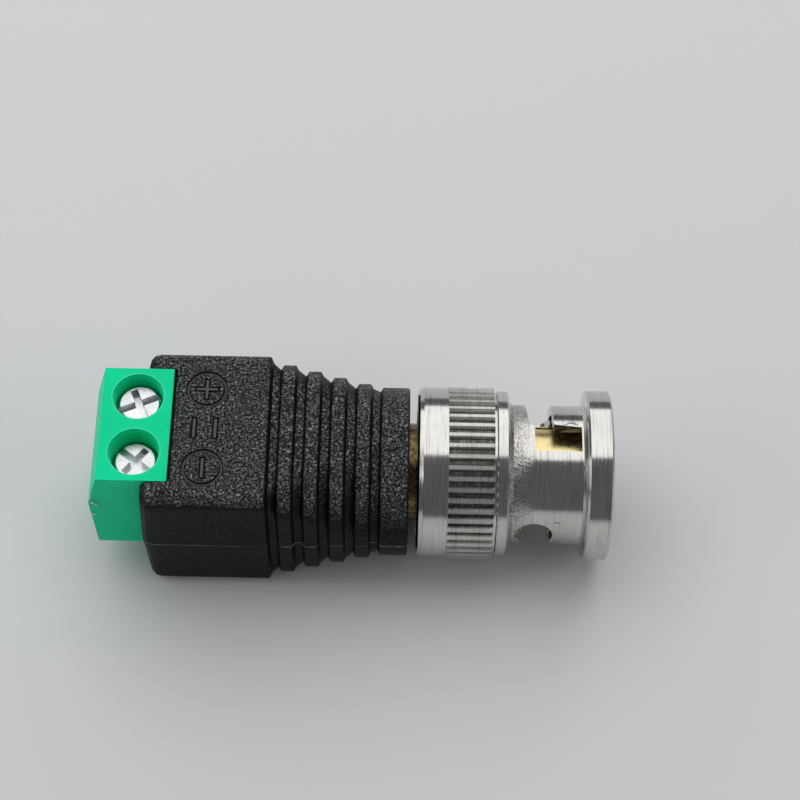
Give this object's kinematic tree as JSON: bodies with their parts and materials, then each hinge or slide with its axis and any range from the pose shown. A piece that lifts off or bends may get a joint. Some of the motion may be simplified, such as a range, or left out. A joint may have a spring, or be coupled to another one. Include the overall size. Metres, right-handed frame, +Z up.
{
  "type": "bnc screw terminal adapter",
  "caption": "Bayonet coaxial plug adapter with a black ribbed housing and a green screw terminal block for joining bare wires.",
  "frame": {"origin": "middle of the bounding box, at the level that the housing rests on", "axes": "+X along the plug axis toward the mating end, +Z up through the top face with the screw holes, +Y toward the plus pole"},
  "size_m": [0.042, 0.0144, 0.0142],
  "materials": {
    "housing_plastic": "fine leathery grain",
    "block_plastic": "smooth moulded",
    "nut_plating": "nickel plated casting",
    "turned_brass": "turned",
    "sleeve_plating": "bright",
    "pin_plating": "thin gold plating",
    "tail_strip": "tinned strip",
    "clamp_steel": "tin plated",
    "screw_steel": "zinc plated",
    "spring_steel": "bright",
    "insulator_plastic": "waxy",
    "gasket_rubber": "soft"
  },
  "bodies": {
    "body": {"housing": "housing_plastic", "terminal_block": "block_plastic", "clamp_plus": "clamp_steel", "clamp_minus": "clamp_steel", "tail_plus": "tail_strip", "tail_minus": "tail_strip", "plug_body": "turned_brass", "rear_insulator": "insulator_plastic", "front_insulator": "insulator_plastic", "contact_sleeve": "sleeve_plating", "centre_pin": "pin_plating", "gasket": "gasket_rubber", "retaining_ring": "spring_steel", "wave_washer": "spring_steel"},
    "carriage": {"thrust_washer": "turned_brass"},
    "nut": {"coupling_nut": "nut_plating"},
    "plate_plus": {"plate_plus": "clamp_steel"},
    "plate_minus": {"plate_minus": "clamp_steel"},
    "screw_plus": {"screw_plus": "screw_steel"},
    "screw_minus": {"screw_minus": "screw_steel"}
  },
  "joints": [
    {"name": "nut_slide", "type": "slide", "parent": "body", "child": "carriage", "axis": [1, 0, 0], "range_m": [0, 0.0008], "stiffness_N_per_m": 2000, "springref_m": -0.0005, "deforming": ["wave_washer"]},
    {"name": "nut_turn", "type": "hinge", "parent": "carriage", "child": "nut", "pos_m": [0.01, 0, 0.0071], "axis": [1, 0, 0], "continuous": true},
    {"name": "plate_plus_slide", "type": "slide", "parent": "body", "child": "plate_plus", "axis": [0, 0, 1], "range_m": [-0.00135, 0.0008]},
    {"name": "plate_minus_slide", "type": "slide", "parent": "body", "child": "plate_minus", "axis": [0, 0, 1], "range_m": [-0.00095, 0.0012]},
    {"name": "screw_plus_turn", "type": "hinge", "parent": "plate_plus", "child": "screw_plus", "pos_m": [-0.01723, 0.00254, 0.012], "axis": [0, 0, 1], "range_deg": [-973, 577]},
    {"name": "screw_minus_turn", "type": "hinge", "parent": "plate_minus", "child": "screw_minus", "pos_m": [-0.01723, -0.00254, 0.012], "axis": [0, 0, 1], "range_deg": [-685, 865]}
  ],
  "couplings": [
    {"joint": "screw_plus_turn", "follows": "plate_plus_slide", "rad_per_m": 12566},
    {"joint": "screw_minus_turn", "follows": "plate_minus_slide", "rad_per_m": 12566}
  ]
}
